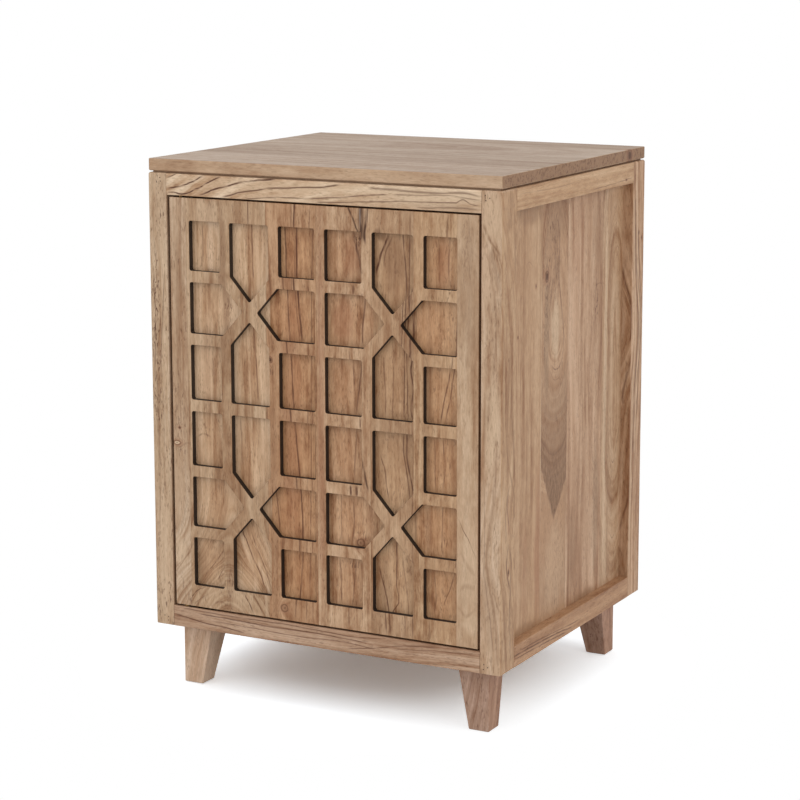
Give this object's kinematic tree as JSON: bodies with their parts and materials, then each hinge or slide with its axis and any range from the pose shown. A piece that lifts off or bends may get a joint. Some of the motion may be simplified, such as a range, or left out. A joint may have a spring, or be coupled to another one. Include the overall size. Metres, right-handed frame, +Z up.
{
  "type": "storage side table",
  "caption": "Storage side table: framed solid-wood case on short tapered legs, with an inset door whose face is milled with a geometric fretwork of rectangles and pentagons.",
  "frame": {"origin": "centre of the footprint, on the floor under the glides", "axes": "+X to the right seen from the front, -Y out of the front face, +Z up"},
  "size_m": [0.45, 0.396, 0.625],
  "materials": {
    "top_wood": "pale brown hardwood boards, oiled, satin",
    "door_wood": "mixed pale and reddish brown hardwood staves, oiled, satin; milled pocket walls stained near black",
    "side_panel_wood": "pale brown hardwood staves with upright grain, oiled, satin",
    "post_wood": "pale brown hardwood, oiled, satin",
    "rail_wood": "pale honey brown hardwood with dark growth lines, oiled, satin",
    "leg_wood": "medium brown hardwood, oiled, satin",
    "inner_wood": "plain hardwood and hardwood-faced board, sealed, matt",
    "brass": "brushed brass",
    "steel": "zinc-plated steel",
    "dark_steel": "dark filled brad heads",
    "latch_plastic": "moulded grey plastic",
    "felt": "brown felt pads"
  },
  "bodies": {
    "case": {"back_bottom_rail": "rail_wood", "back_panel": "inner_wood", "back_top_cleat": "inner_wood", "back_top_rail": "rail_wood", "floor_glides": "felt", "floor_panel": "inner_wood", "frame_screws": "brass", "front_bottom_rail": "rail_wood", "front_top_cleat": "inner_wood", "front_top_rail": "rail_wood", "joint_brads": "dark_steel", "latch_housing": "latch_plastic", "latch_spring": "steel", "left_back_leg": "leg_wood", "left_back_post": "post_wood", "left_bottom_rail": "rail_wood", "left_front_leg": "leg_wood", "left_front_post": "post_wood", "left_leg_batten": "inner_wood", "left_panel_stave_1": "side_panel_wood", "left_panel_stave_2": "side_panel_wood", "left_panel_stave_3": "side_panel_wood", "left_top_rail": "rail_wood", "leg_bolts": "steel", "leg_nuts": "steel", "lower_frame_leaf": "brass", "right_back_leg": "leg_wood", "right_back_post": "post_wood", "right_bottom_rail": "rail_wood", "right_front_leg": "leg_wood", "right_front_post": "post_wood", "right_leg_batten": "inner_wood", "right_panel_stave_1": "side_panel_wood", "right_panel_stave_2": "side_panel_wood", "right_panel_stave_3": "side_panel_wood", "right_panel_stave_4": "side_panel_wood", "right_top_rail": "rail_wood", "shelf": "inner_wood", "shelf_pins": "steel", "thrust_washer": "brass", "top_board_1": "top_wood", "top_board_2": "top_wood", "top_board_3": "top_wood", "top_board_4": "top_wood", "top_screws": "steel", "upper_frame_leaf": "brass"},
    "door": {"door_stave_1": "door_wood", "door_stave_2": "door_wood", "door_stave_3": "door_wood", "door_stave_4": "door_wood", "door_stave_5": "door_wood", "door_stave_6": "door_wood", "door_stave_7": "door_wood", "upper_door_leaf": "brass", "lower_door_leaf": "brass", "strike_plate": "steel", "door_screws": "steel"},
    "plunger": {"latch_plunger": "latch_plastic", "latch_magnet": "steel"}
  },
  "joints": [
    {"name": "door_hinge", "type": "hinge", "parent": "case", "child": "door", "pos_m": [-0.185, -0.1915, 0.342], "axis": [0, 0, -1], "range_deg": [0, 130]},
    {"name": "plunger_slide", "type": "slide", "parent": "case", "child": "plunger", "axis": [0, -1, 0], "range_m": [0, 0.01]}
  ],
  "couplings": [
    {"joint": "plunger_slide", "follows": "door_hinge", "m_per_rad": 0.0044}
  ]
}
